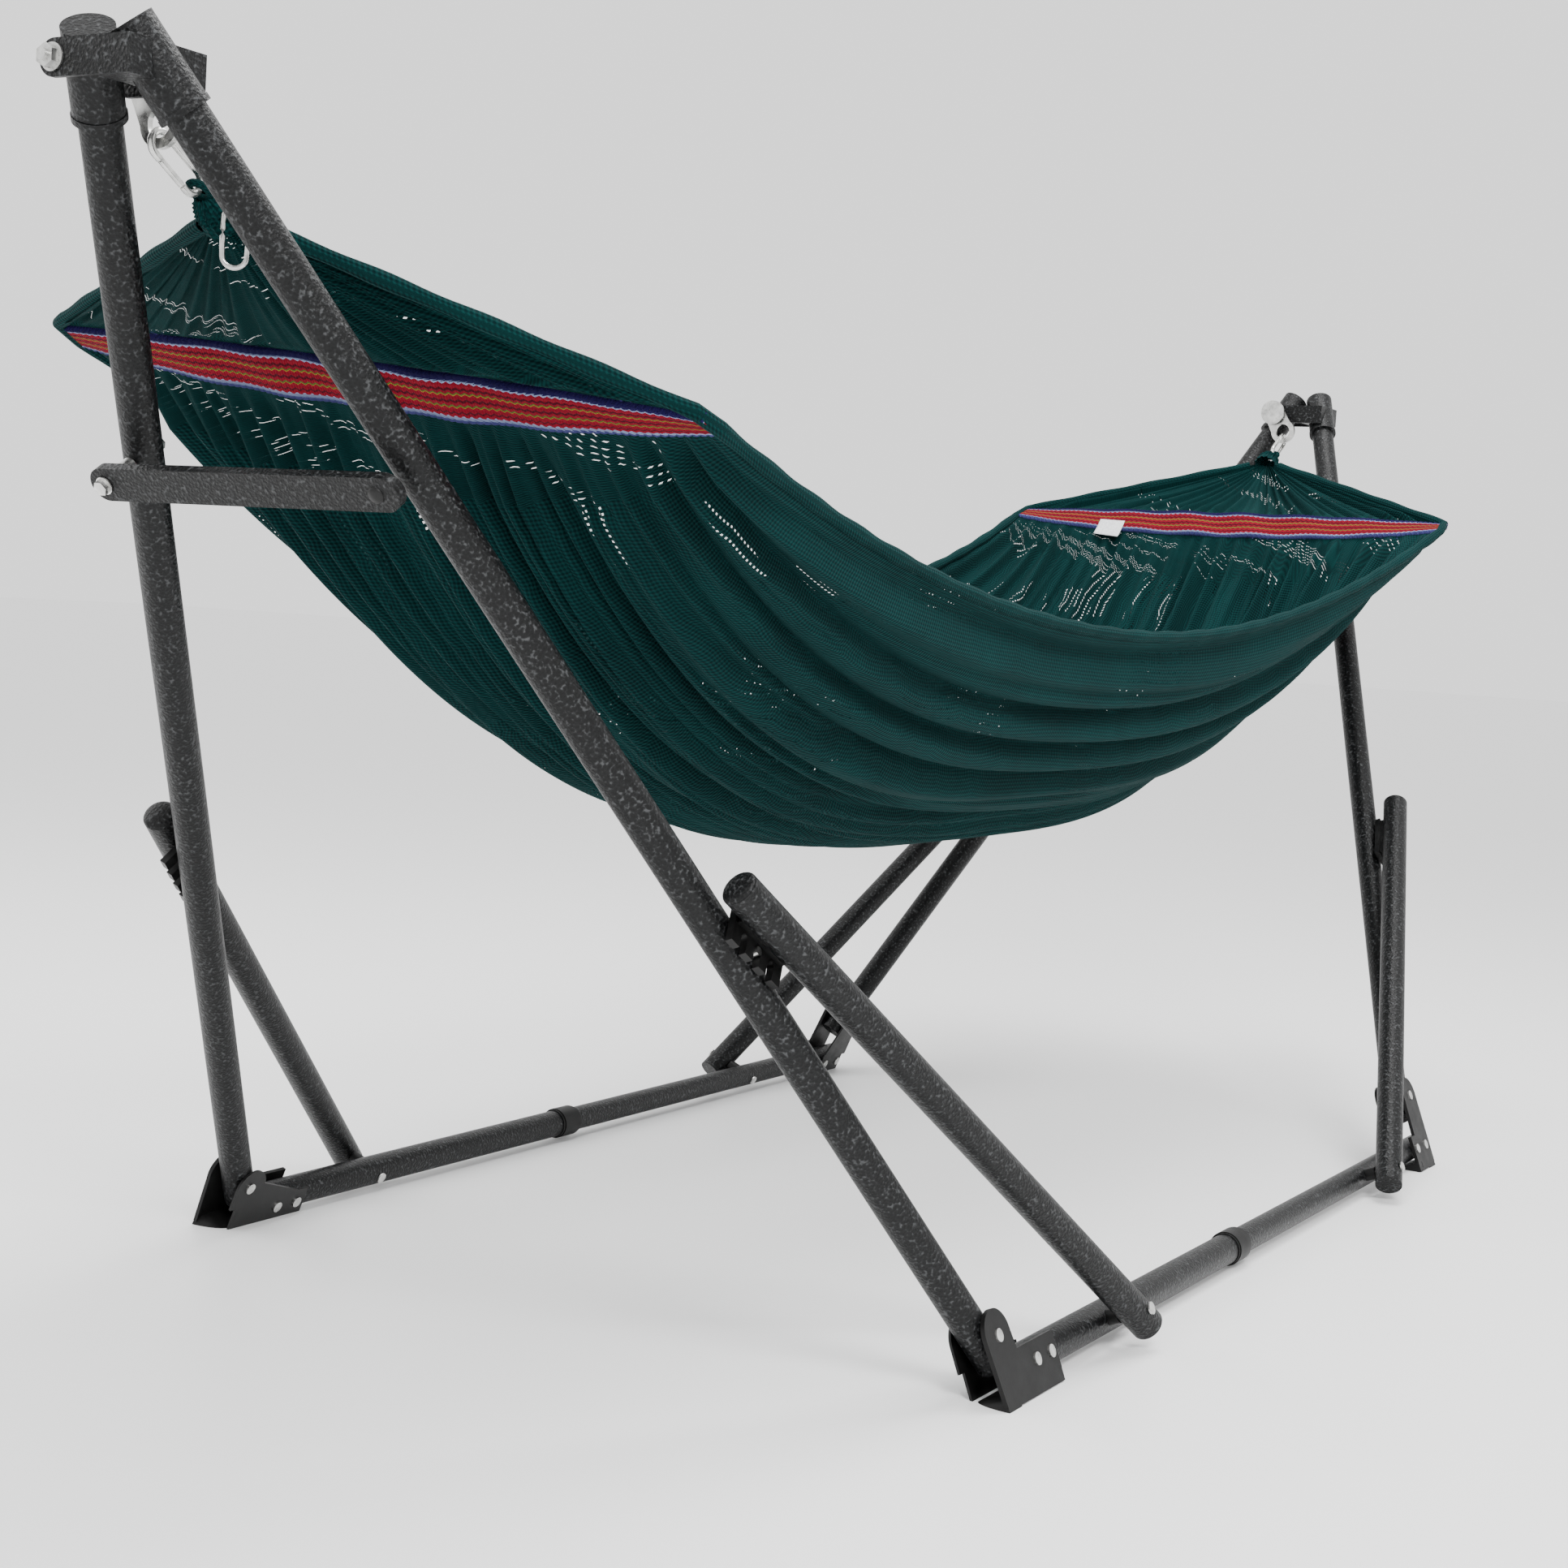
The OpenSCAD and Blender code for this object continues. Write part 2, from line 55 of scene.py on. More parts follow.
# The woven bands, at the two ends of the bed
BAND_LOW, BAND_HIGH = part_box("far_band")
BAND_X = (BAND_LOW.x + BAND_HIGH.x) / 2
BAND_W = BAND_HIGH.x - BAND_LOW.x
BAND_HALF_W = (BAND_HIGH.y - BAND_LOW.y) / 2
BAND_Z = 990 * MM
BAND_T = 9.5 * MM
BAND_TILT = 40 * MM
MID_Y = (BAND_LOW.y + BAND_HIGH.y) / 2

# The bed between the bands, with its height at mid length
CLOTH_T = 6 * MM
MID_HALF_W = 345 * MM
RIM_Z = 790 * MM
RIM_END_LIFT = 8 * MM
SAG_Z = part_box("hammock_bed")[0].z + CLOTH_T
BELLY = 2.6
BED_ROWS = 260
BED_COLS = 300

# The end panels, which narrow to a neck
FAN_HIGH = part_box("far_end_panel")[1]
FAN_X = FAN_HIGH.x
FAN_Z = FAN_HIGH.z - 1 * MM
FAN_SAG = 10 * MM
NECK_R = 21 * MM

# The stand's tubes: each leg leans from its pivot to the ridge, in a frame tilted about its rail
TILT = math.radians(22.1)
HALF_WIDTH = 517 * MM
RAIL_Z = 24 * MM
FOOT_X = 757 * MM
MAST_LEAN = 778 * MM
MAST_RISE = 1303 * MM
PIVOT_RISE = {"near": 40 * MM, "far": 78 * MM}
STRUT_X = 482 * MM
STRUT_RISE = 526 * MM
STRUT_OFFSET = 51 * MM


# ---------------------------------------------------------------- camera, light and floor
def make_camera():
    """The camera, off the stand's near right corner and lower than its ridge."""
    place = (-3.079, -1.563, 0.798)
    yaw, pitch, roll = 0.52, -0.07, 0.06
    data = bpy.data.cameras.new("camera")
    camera = bpy.data.objects.new("camera", data)
    bpy.context.scene.collection.objects.link(camera)
    forward = Vector((math.cos(pitch) * math.cos(yaw), math.cos(pitch) * math.sin(yaw), math.sin(pitch)))
    right = Vector((math.sin(yaw), -math.cos(yaw), 0))
    up = right.cross(forward)
    tilted_right = right * math.cos(roll) + up * math.sin(roll)
    tilted_up = up * math.cos(roll) - right * math.sin(roll)
    turn = Matrix((tilted_right, tilted_up, -forward)).transposed()
    camera.matrix_world = Matrix.Translation(place) @ turn.to_4x4()
    data.lens = 57.9
    data.clip_end = 60
    bpy.context.scene.camera = camera


def area_light(name, place, target, size, watts):
    """A square light at place that points at target."""
    data = bpy.data.lights.new(name, "AREA")
    data.size = size
    data.energy = watts
    light = bpy.data.objects.new(name, data)
    light.location = place
    light.rotation_euler = (Vector(target) - Vector(place)).to_track_quat("-Z", "Y").to_euler()
    bpy.context.scene.collection.objects.link(light)


def make_stage():
    """The white studio: its world light, three lamps and the floor."""
    world = bpy.data.worlds.new("studio")
    world.use_nodes = True
    background = world.node_tree.nodes["Background"]
    background.inputs["Color"].default_value = (1, 1, 1, 1)
    background.inputs["Strength"].default_value = 1.5
    bpy.context.scene.world = world
    area_light("key", (-3.0, -2.6, 3.4), (0, 0, 0.6), 1.3, 200)
    area_light("fill", (-1.5, 3.6, 2.6), (0, 0, 0.6), 3.0, 70)
    area_light("top", (0.9, -0.4, 4.0), (0, 0, 0.5), 2.0, 150)
    reach = 40
    mesh = bpy.data.meshes.new("floor")
    mesh.from_pydata([(-reach, -reach, 0), (reach, -reach, 0), (reach, reach, 0), (-reach, reach, 0)],
                     [], [(0, 1, 2, 3)])
    floor = bpy.data.objects.new("floor", mesh)
    bpy.context.scene.collection.objects.link(floor)
    mesh.materials.append(new_material("floor_white", (0.93, 0.93, 0.93), 0.45)[0])


# ---------------------------------------------------------------- materials
def new_material(name, colour, roughness, metallic=0.0):
    """A plain material and its shader, which the functions below add texture to."""
    material = bpy.data.materials.new(name)
    material.use_nodes = True
    shader = material.node_tree.nodes["Principled BSDF"]
    shader.inputs["Base Color"].default_value = (*colour, 1)
    shader.inputs["Roughness"].default_value = roughness
    shader.inputs["Metallic"].default_value = metallic
    return material, shader


class Graph:
    """Short calls for a material's nodes."""

    def __init__(self, material):
        self.tree = material.node_tree

    def node(self, kind, **values):
        made = self.tree.nodes.new(kind)
        for key, value in values.items():
            setattr(made, key, value)
        return made

    def link(self, a, b):
        self.tree.links.new(a, b)

    def put(self, socket, value):
        if hasattr(value, "is_output"):
            self.link(value, socket)
        else:
            socket.default_value = value

    def math(self, operation, a, b=0.0, c=0.0):
        made = self.node("ShaderNodeMath", operation=operation)
        for socket, value in zip(made.inputs, (a, b, c)):
            self.put(socket, value)
        return made.outputs[0]

    def coords(self, kind="Object"):
        return self.node("ShaderNodeTexCoord").outputs[kind]

    def uv(self):
        """The two lengths of the UV map."""
        split = self.node("ShaderNodeSeparateXYZ")
        self.link(self.coords("UV"), split.inputs[0])
        return split.outputs[0], split.outputs[1]

    def noise(self, vector, scale, detail=3.0, roughness=0.5):
        made = self.node("ShaderNodeTexNoise")
        self.link(vector, made.inputs["Vector"])
        made.inputs["Scale"].default_value = scale
        made.inputs["Detail"].default_value = detail
        made.inputs["Roughness"].default_value = roughness
        return made.outputs["Fac"]

    def voronoi(self, vector, scale, feature="F1"):
        made = self.node("ShaderNodeTexVoronoi", feature=feature)
        self.link(vector, made.inputs["Vector"])
        made.inputs["Scale"].default_value = scale
        return made.outputs["Distance"]

    def ramp(self, value, *stops, constant=False):
        made = self.node("ShaderNodeValToRGB")
        if constant:
            made.color_ramp.interpolation = "CONSTANT"
        elements = made.color_ramp.elements
        while len(elements) > 1:
            elements.remove(elements[-1])
        for index, (place, colour) in enumerate(stops):
            element = elements[0] if index == 0 else elements.new(place)
            element.position = place
            element.color = (*colour, 1)
        self.link(value, made.inputs["Fac"])
        return made.outputs["Color"]

    def greys(self, value, *stops):
        """A ramp between greys, each given as its place and its level."""
        return self.ramp(value, *((place, (level,) * 3) for place, level in stops))

    def waves(self, value, period):
        return self.math("SINE", self.math("MULTIPLY", value, 2 * math.pi / period))

    def sawtooth(self, value, period):
        """How far value is from the middle of its period, from 0 to 0.5."""
        share = self.math("FRACT", self.math("DIVIDE", value, period))
        return self.math("ABSOLUTE", self.math("SUBTRACT", share, 0.5))

    def mix(self, factor, a, b):
        made = self.node("ShaderNodeMix", data_type="RGBA")
        self.put(made.inputs[0], factor)
        for socket, value in ((made.inputs[6], a), (made.inputs[7], b)):
            self.put(socket, value if hasattr(value, "is_output") else (*value, 1))
        return made.outputs[2]

    def bump(self, height, strength, distance, normal=None):
        made = self.node("ShaderNodeBump")
        made.inputs["Strength"].default_value = strength
        made.inputs["Distance"].default_value = distance
        self.link(height, made.inputs["Height"])
        if normal is not None:
            self.link(normal, made.inputs["Normal"])
        return made.outputs["Normal"]


def hammertone():
    """Dark grey powder coat with the dimpled hammer finish, painted shade in the dimples and painted glints
    on their ridges, and a faint wear tone.
    """
    material, shader = new_material("hammertone_paint", (0.01, 0.011, 0.012), 0.42, 0.0)
    g = Graph(material)
    place = g.coords()
    cells = g.voronoi(place, 330, "SMOOTH_F1")
    fine = g.noise(place, 520, 3, 0.65)
    broad = g.noise(place, 9, 3)
    height = g.math("ADD", g.math("MULTIPLY", cells, 0.9), g.math("MULTIPLY", fine, 0.6))
    # Painted shade and painted glints: the dimples' colour is darkened and the ridges between them are
    # coloured lighter, following the bump's height.
    dimple_shade_and_glint = g.ramp(height, (0.5, (0.0012, 0.0013, 0.0014)), (0.78, (0.004, 0.0043, 0.0046)),
                  (1.0, (0.05, 0.052, 0.054)))
    # The faint wear tone is mixed over the painted dimple shade and glints.
    wear_over_painted_shade = g.mix(g.math("MULTIPLY", broad, 0.08), dimple_shade_and_glint, (0.012, 0.0125, 0.013))
    g.link(wear_over_painted_shade, shader.inputs["Base Color"])
    g.link(g.greys(fine, (0.3, 0.30), (0.7, 0.52)), shader.inputs["Roughness"])
    g.link(g.bump(height, 0.75, 0.0011), shader.inputs["Normal"])
    shader.inputs["Specular IOR Level"].default_value = 0.2
    return material


def satin_black():
    """Smooth black coat on steel, a little scuffed."""
    material, shader = new_material("black_steel", (0.012, 0.012, 0.012), 0.38, 0.0)
    g = Graph(material)
    place = g.coords()
    fine = g.noise(place, 700, 2)
    scuffs = g.noise(place, 60, 4, 0.7)
    shader.inputs["Specular IOR Level"].default_value = 0.25
    g.link(g.greys(scuffs, (0.45, 0.003), (0.75, 0.010)), shader.inputs["Base Color"])
    g.link(g.greys(scuffs, (0.3, 0.32), (0.8, 0.55)), shader.inputs["Roughness"])
    g.link(g.bump(fine, 0.2, 0.0003), shader.inputs["Normal"])
    return material


def moulded_black():
    """Grained black plastic with a little dust."""
    material, shader = new_material("black_plastic", (0.011, 0.011, 0.012), 0.5)
    g = Graph(material)
    place = g.coords()
    grain = g.voronoi(place, 900)
    dust = g.noise(place, 35, 4, 0.6)
    shader.inputs["Specular IOR Level"].default_value = 0.2
    g.link(g.greys(dust, (0.4, 0.003), (0.8, 0.009)), shader.inputs["Base Color"])
    g.link(g.greys(dust, (0.3, 0.42), (0.8, 0.62)), shader.inputs["Roughness"])
    g.link(g.bump(grain, 0.3, 0.0002), shader.inputs["Normal"])
    return material


def zinc_plate():
    """Bright zinc, duller in patches."""
    material, shader = new_material("zinc_steel", (0.62, 0.62, 0.6), 0.26, 1.0)
    g = Graph(material)
    place = g.coords()
    patches = g.noise(place, 90, 4, 0.6)
    lines = g.noise(place, 1300, 2)
    tone = g.ramp(patches, (0.3, (0.42, 0.42, 0.41)), (0.7, (0.75, 0.75, 0.73)))
    g.link(tone, shader.inputs["Base Color"])
    g.link(g.greys(patches, (0.3, 0.2), (0.75, 0.42)), shader.inputs["Roughness"])
    g.link(g.bump(lines, 0.15, 0.0002), shader.inputs["Normal"])
    return material


def knit(name, open_mesh):
    """Teal knit, with painted shade in the grooves of its weave. Its UV is in metres, u along the hammock
    and v across it.
    """
    material, shader = new_material(name, (0.003, 0.04, 0.042), 0.85)
    shader.inputs["Sheen Weight"].default_value = 0.03
    shader.inputs["Specular IOR Level"].default_value = 0.06
    shader.inputs["Sheen Roughness"].default_value = 0.45
    shader.inputs["Sheen Tint"].default_value = (0.25, 0.75, 0.75, 1)
    g = Graph(material)
    u, v = g.uv()
    rib = g.waves(v, 4.5 * MM)
    along_turns = g.math("MULTIPLY", u, 2 * math.pi / (5.5 * MM))
    across_turns = g.math("MULTIPLY", v, 2 * math.pi / (11 * MM))
    stitch = g.math("SINE", g.math("ADD", along_turns, across_turns))
    weave = g.math("ADD", g.math("MULTIPLY", rib, 0.5), g.math("MULTIPLY", stitch, 0.5))
    tone = g.noise(g.coords("UV"), 7, 4, 0.6)
    shade = g.ramp(tone, (0.3, (0.0004, 0.0085, 0.0095)), (0.55, (0.0006, 0.016, 0.0165)),
                   (0.8, (0.001, 0.027, 0.026)))
    # Painted shade: the weave's grooves are coloured near black and its thread tops teal, following the
    # bump's height.
    thread = g.ramp(g.math("MULTIPLY_ADD", weave, 0.5, 0.5), (0.15, (0.0003, 0.004, 0.005)),
                    (0.9, (0.0015, 0.038, 0.036)))
    g.link(g.mix(0.55, shade, thread), shader.inputs["Base Color"])
    g.link(g.bump(weave, 0.55, 0.0011), shader.inputs["Normal"])
    if open_mesh:
        across = g.sawtooth(v, 13.5 * MM)
        along = g.sawtooth(u, 7.8 * MM)
        hole = g.math("MULTIPLY", g.math("LESS_THAN", across, 0.085), g.math("LESS_THAN", along, 0.19))
        # The knit is only stretched open in patches, which are long and narrow
        stretch = g.node("ShaderNodeMapping")
        stretch.inputs["Scale"].default_value = (2.6, 9.0, 1)
        g.link(g.coords("UV"), stretch.inputs["Vector"])
        patch = g.noise(stretch.outputs[0], 1.0, 2, 0.5)
        hole = g.math("MULTIPLY", hole, g.math("GREATER_THAN", patch, 0.55))
        g.link(g.math("SUBTRACT", 1.0, hole), shader.inputs["Alpha"])
    return material


def woven_stripes():
    """Red band with thin stripes. Its UV runs 0 to 1 across in v and in metres in u."""
    material, shader = new_material("woven_band", (0.4, 0.04, 0.05), 0.85)
    shader.inputs["Specular IOR Level"].default_value = 0.08
    g = Graph(material)
    u, v = g.uv()
    zig = g.sawtooth(u, 9 * MM)
    wavy = g.math("MULTIPLY_ADD", zig, 0.09, g.math("SUBTRACT", v, 0.022))
    navy, white, red = (0.006, 0.008, 0.07), (0.22, 0.28, 0.44), (0.20, 0.002, 0.012)
    maroon, green, yellow = (0.055, 0.001, 0.006), (0.04, 0.12, 0.02), (0.30, 0.17, 0.015)
    stripes = g.ramp(wavy, (0.0, navy), (0.11, white), (0.15, red), (0.26, maroon), (0.31, red),
                     (0.36, green), (0.385, yellow), (0.40, red), (0.50, maroon), (0.55, red),
                     (0.62, green), (0.645, yellow), (0.66, red), (0.76, maroon), (0.80, red),
                     (0.87, white), (0.93, (0.05, 0.06, 0.2)), constant=True)
    cross = g.waves(u, 3.2 * MM)
    ribs = g.math("SINE", g.math("MULTIPLY", v, 2 * math.pi * 11))
    weave = g.math("ADD", g.math("MULTIPLY", cross, 0.6), g.math("MULTIPLY", ribs, 0.4))
    fleck = g.noise(g.coords("UV"), 420, 2)
    g.link(g.mix(g.math("MULTIPLY", fleck, 0.3), stripes, (0.05, 0.01, 0.02)), shader.inputs["Base Color"])
    g.link(g.bump(weave, 0.7, 0.0012), shader.inputs["Normal"])
    return material


def blank_label():
    """Pale woven tag cloth with nothing printed on it."""
    material, shader = new_material("blank_label", (0.62, 0.64, 0.66), 0.6)
    g = Graph(material)
    place = g.coords()
    g.link(g.ramp(g.noise(place, 300, 3), (0.3, (0.5, 0.52, 0.54)), (0.7, (0.72, 0.73, 0.74))),
           shader.inputs["Base Color"])
    g.link(g.bump(g.noise(place, 1500, 2), 0.3, 0.0003), shader.inputs["Normal"])
    return material


MATERIALS = {
    "hammertone_paint": hammertone(),
    "black_steel": satin_black(),
    "black_plastic": moulded_black(),
    "zinc_steel": zinc_plate(),
}
OPEN_KNIT = knit("open_knit", True)
CLOSE_KNIT = knit("close_knit", False)
STRIPES = woven_stripes()
LABEL = blank_label()


def finish_cad_nodes():
    """Gives every hard CAD node the material of its slot."""
    for row in frame["record"]["subparts"]:
        material = MATERIALS.get(row["material_slot"])
        if material is None:
            continue
        obj = nodes[row["node"]]
        obj.data.materials.clear()
        obj.data.materials.append(material)


# ---------------------------------------------------------------- cloth
def squared(a):
    return a * a


def half_w(x):
    """Half the bed's width, widest at the bands."""
    return MID_HALF_W + (BAND_HALF_W - MID_HALF_W) * squared(x / BAND_X)


def rim_h(x):
    """The height of the bed's side edges."""
    return RIM_Z + (BAND_Z + RIM_END_LIFT - RIM_Z) * squared(x / BAND_X)


def keel_h(x):
    """The height of the bed's lowest line."""
    return SAG_Z + (BAND_Z - SAG_Z) * np.abs(x / BAND_X) ** 3


def near_lift(x, v):
    """The near band hangs with its left end higher than its right one."""
    share = np.clip(-x / BAND_X, 0, 1.2)
    return BAND_TILT * v * share ** 2


def bed_point(x, v):
    """The middle of the cloth, for x along the bed and v from -1 to 1 across it."""
    y = MID_Y + half_w(x) * v
    z = keel_h(x) + (rim_h(x) - keel_h(x)) * np.abs(v) ** BELLY - CLOTH_T / 2 + near_lift(x, v)
    return np.stack(np.broadcast_arrays(x, y, z), -1)


def fan_point(t, v, end):
    """The end panel, from the neck at t = 0 to the band at t = 1."""
    neck = np.stack(np.broadcast_arrays(FAN_X, MID_Y + NECK_R * v, FAN_Z), -1)
    edge = bed_point(np.full(np.shape(v), end * (BAND_X + BAND_W / 2)), v) * np.array([end, 1, 1])
    point = neck + (edge - neck) * t[..., None]
    point[..., 2] += FAN_SAG * np.sin(math.pi * t) * (squared(v) - 1)
    point[..., 0] *= end
    return point


def normals_of(grid):
    """Unit normals of a grid of points."""
    along = np.gradient(grid, axis=0)
    across = np.gradient(grid, axis=1)
    normal = np.cross(along, across)
    return normal / np.maximum(np.linalg.norm(normal, axis=-1, keepdims=True), 1e-9)


def lengths(grid, axis):
    """How far each point of a grid lies along one of its two directions."""
    steps = np.linalg.norm(np.diff(grid, axis=axis), axis=-1)
    pad = [(0, 0), (0, 0)]
    pad[axis] = (1, 0)
    return np.cumsum(np.pad(steps, pad), axis=axis)


def grid_piece(name, grid, material, uv, closed_across=False):
    """A smooth mesh over a grid of points, with uv of the same shape."""
    rows, cols = grid.shape[:2]
    index = np.arange(rows * cols).reshape(rows, cols)
    if closed_across:
        right = np.roll(index, -1, axis=1)
        corners = [index[:-1], index[1:], right[1:], right[:-1]]
    else:
        corners = [index[:-1, :-1], index[1:, :-1], index[1:, 1:], index[:-1, 1:]]
    quads = np.stack(corners, -1).reshape(-1, 4)
    mesh = bpy.data.meshes.new(name)
    mesh.from_pydata(grid.reshape(-1, 3).tolist(), [], quads.tolist())
    layer = mesh.uv_layers.new(name="UVMap")
    loops = np.zeros(len(mesh.loops), np.int32)
    mesh.loops.foreach_get("vertex_index", loops)
    layer.data.foreach_set("uv", uv.reshape(-1, 2)[loops].astype(np.float32).ravel())
    mesh.polygons.foreach_set("use_smooth", np.ones(len(mesh.polygons), bool))
    mesh.materials.append(material)
    obj = bpy.data.objects.new(name, mesh)
    bpy.context.scene.collection.objects.link(obj)
    return obj


def attach(piece, stands_for=None, body="hammock"):
    """Fixes a piece to its body, and hides the CAD node that it stands for."""
    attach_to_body(piece, body)
    if stands_for:
        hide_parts(stands_for)


def thicken(piece, thickness, offset):
    """Gives a sheet its thickness, centred on it at an offset of 0 and all to one side at -1."""
    solid = piece.modifiers.new("thickness", "SOLIDIFY")
    solid.thickness = thickness
    solid.offset = offset


def billows(v, x_share, count, seed, drift=0.8):
    """Round swells with sharp creases between them, count of them across the cloth, from -0.5 to 0.5."""
    draws = np.random.default_rng(seed)
    a, b, c, d = draws.uniform(0, 2 * math.pi, 4)
    bend = drift * np.sin(1.3 * x_share + a + 2.2 * v) + 0.5 * drift * np.sin(3.1 * x_share + b - 4 * v)
    place = v + 0.06 * np.sin(6 * v + c) + 0.03 * np.sin(13 * v + d)
    return np.abs(np.sin(math.pi * count * place / 2 + bend)) ** 0.75 - 0.5


def folds(v, x_share, count, seed, drift=0.35):
    """Lengthwise folds with steep sides, from -1 to 1: count crests and troughs in all across the cloth."""
    draws = np.random.default_rng(seed)
    phase = draws.uniform(0, 2 * math.pi, 4)
    slow = np.sin(2.1 * x_share + phase[0] + 3 * v)
    quick = np.sin(4.7 * x_share + phase[1] - 5 * v)
    bend = drift * slow + 0.5 * drift * quick
    wave = np.sin(math.pi * count * v / 2 + phase[2] + bend + 0.7 * np.sin(5 * v + phase[3]))
    return np.sign(wave) * np.abs(wave) ** 0.75


def make_bed():
    """The bed: its smooth shape with billows and folds, which settle before the bands and the rims."""
    x = np.linspace(-BAND_X, BAND_X, BED_ROWS)[:, None]
    v = np.linspace(-1, 1, BED_COLS)[None, :]
    grid = bed_point(x, v)
    normal = normals_of(grid)
    share = np.abs(x / BAND_X)
    band_edge = 1 - BAND_W / 2 / BAND_X
    end_settle = np.clip((band_edge - share) / 0.055, 0, 1) ** 0.7
    rim_settle = np.clip((1 - np.abs(v)) / 0.05, 0, 1)
    x_share = x / BAND_X
    body = 0.45 + 0.55 * (1 - share ** 4)
    deep = -34 * MM * billows(v, x_share, count=13, seed=3) * body
    second = -12 * MM * billows(v, x_share, count=29, seed=8, drift=1.4)
    tight = 7.5 * MM * folds(v, x_share, count=52, seed=5, drift=0.5) * share ** 1.6
    fine = 1.4 * MM * folds(v, x_share, count=96, seed=11, drift=0.6)
    grid = grid + normal * ((deep + second + tight + fine) * (end_settle * rim_settle))[..., None]
    uv = np.stack([lengths(grid, 0), lengths(grid, 1)], -1)
    bed = grid_piece("bed_cloth", grid, OPEN_KNIT, uv)
    attach(bed, "hammock_bed")
    return bed


def make_end_panel(name, end):
    """One fan of cloth between a band and its neck, with billows that shrink towards the neck."""
    t = np.linspace(0, 1, 70)[:, None]
    v = np.linspace(-1, 1, 260)[None, :]
    grid = fan_point(*np.broadcast_arrays(t, v), end)
    normal = normals_of(grid) * end
    spread = 0.25 + 0.75 * t
    settle = np.clip((0.99 - t) / 0.12, 0, 1)
    deep = 15 * MM * billows(v, t, count=19, seed=21 + end, drift=0.3) * spread
    fine = 5 * MM * folds(v, t, count=52, seed=31 + end, drift=0.4) * spread
    grid = grid + normal * ((deep + fine) * settle)[..., None]
    uv = np.stack([lengths(grid, 0), lengths(grid, 1)], -1)
    panel = grid_piece(name + "_end_cloth", grid, OPEN_KNIT, uv)
    attach(panel, name + "_end_panel")
    return panel


def tube_grid(path, radius, sides):
    """Rings of a tube along a path, with a radius for each of the path's points."""
    tangent = np.gradient(path, axis=0)
    tangent /= np.linalg.norm(tangent, axis=1, keepdims=True)
    up = np.array([0.0, 0.0, 1.0])
    side = np.cross(tangent, up)
    side /= np.maximum(np.linalg.norm(side, axis=1, keepdims=True), 1e-9)
    over = np.cross(side, tangent)
    angle = np.linspace(0, 2 * math.pi, sides, endpoint=False)
    turn = angle[None, :, None]
    ring = side[:, None] * np.cos(turn) + over[:, None] * np.sin(turn)
    return path[:, None] + ring * np.broadcast_to(radius, (len(path),))[:, None, None]


def tube_piece(name, path, radius, material, sides=14):
    """A round cord, hem or wire along a path on the hammock."""
    grid = tube_grid(path, radius, sides)
    around = np.broadcast_to(np.arange(sides) * 4 * MM, grid.shape[:2])
    uv = np.stack([lengths(grid, 0), around], -1)
    obj = grid_piece(name, grid, material, uv, closed_across=True)
    attach(obj)


def make_rims():
    """The rolled hems along both sides of the bed and of the end panels."""
    x = np.linspace(-BAND_X, BAND_X, 160)
    for name, v in (("right", -1.0), ("left", 1.0)):
        middle = bed_point(x, np.full_like(x, v))
        t = np.linspace(0.02, 0.98, 30)
        near = fan_point(t, np.full_like(t, v), -1)
        far = fan_point(t, np.full_like(t, v), 1)[::-1]
        path = np.concatenate([near, middle[1:-1], far])
        path[:, 2] += 1 * MM
        roll = 7.5 * MM + 0.8 * MM * np.sin(np.arange(len(path)) * 0.9)
        tube_piece(name + "_rim_roll", path, roll, CLOSE_KNIT)


def make_band(name, end):
    """One striped band over an end of the bed, a little rippled."""
    v = np.linspace(-1, 1, 360)[None, :]
    across = np.linspace(0, 1, 9)[:, None]
    x = BAND_X + BAND_W * (0.5 - across)
    grid = bed_point(*np.broadcast_arrays(x, v))
    normal = normals_of(grid)
    edge = 1 * MM * np.sin(v * 300) * (np.abs(across - 0.5) > 0.45)
    wave = 2.5 * MM * np.sin(v * 23 + across * 2) * (1 - np.abs(v))
    grid = grid + normal * (wave + edge)[..., None]
    grid[..., 2] += near_lift(end * grid[..., 0], v) - near_lift(grid[..., 0], v)
    grid[..., 0] *= end
    uv = np.stack([lengths(grid, 1), across * np.ones_like(v)], -1)
    band = grid_piece(name + "_woven_band", grid, STRIPES, uv)
    thicken(band, BAND_T, 0)
    attach(band, name + "_band")
    return band


